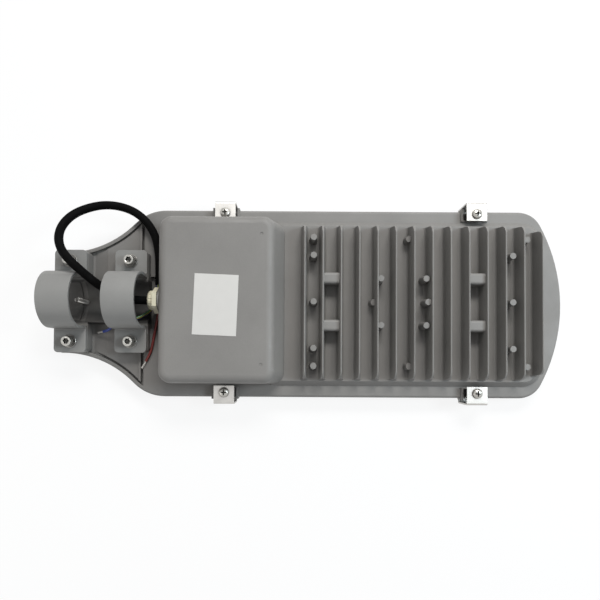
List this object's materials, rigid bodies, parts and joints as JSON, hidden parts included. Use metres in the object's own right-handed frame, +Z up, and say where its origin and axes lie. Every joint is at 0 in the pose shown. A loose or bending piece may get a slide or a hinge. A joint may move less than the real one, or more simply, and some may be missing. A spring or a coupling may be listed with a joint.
{
  "type": "led street light head",
  "caption": "LED street light head: finned die-cast housing with driver box, full-width glass on screwed clips, and a two-saddle clamp for a horizontal pole arm.",
  "frame": {"origin": "middle of the outer pole saddle, on the pole arm's axis", "axes": "+X along the head from the pole arm to the tip, +Y to the head's left, +Z up, away from the lit side"},
  "size_m": [0.5033, 0.1996, 0.0688],
  "materials": {
    "casting": "fine-textured grey powder coat",
    "saddle": "grey powder coat",
    "fastener": "plain zinc-plated steel",
    "clip": "bright rolled stainless steel",
    "gland": "moulded off-white nylon",
    "seal": "matt black rubber",
    "jacket": "satin black cable jacket",
    "lead": "insulated wire",
    "core_brown": "brown wire insulation",
    "core_blue": "blue wire insulation",
    "core_earth": "yellow and green wire insulation",
    "tinned": "tinned copper strands",
    "glass": "clear toughened float glass",
    "board": "white solder mask on an aluminium-core board",
    "led": "yellow phosphor under clear silicone",
    "reflector": "white coated sheet",
    "driver": "plain aluminium case",
    "label": "blank white sticker"
  },
  "bodies": {
    "root": {"housing": "casting", "outer_pole_saddle": "saddle", "inner_pole_saddle": "saddle", "saddle_screws": "fastener", "saddle_spring_washers": "fastener", "saddle_flat_washers": "fastener", "glass_clip_rear_left": "clip", "glass_clip_rear_right": "clip", "glass_clip_front_left": "clip", "glass_clip_front_right": "clip", "clip_screws": "fastener", "locking_stud": "fastener", "gland_body": "gland", "gland_nut": "gland", "gland_seal": "seal", "gland_locknut": "gland", "cable_tail": "jacket", "driver_input_leads": "lead", "power_cable": "jacket", "brown_core": "core_brown", "blue_core": "core_blue", "earth_core": "core_earth", "tinned_core_tips": "tinned", "glass": "glass", "glass_gasket": "seal", "led_board": "board", "leds": "led", "led_board_screws": "fastener", "reflector": "reflector", "led_driver": "driver", "driver_screws": "fastener", "driver_cover": "reflector", "driver_cover_screws": "fastener", "dc_leads": "lead", "label": "label"}
  },
  "joints": []
}
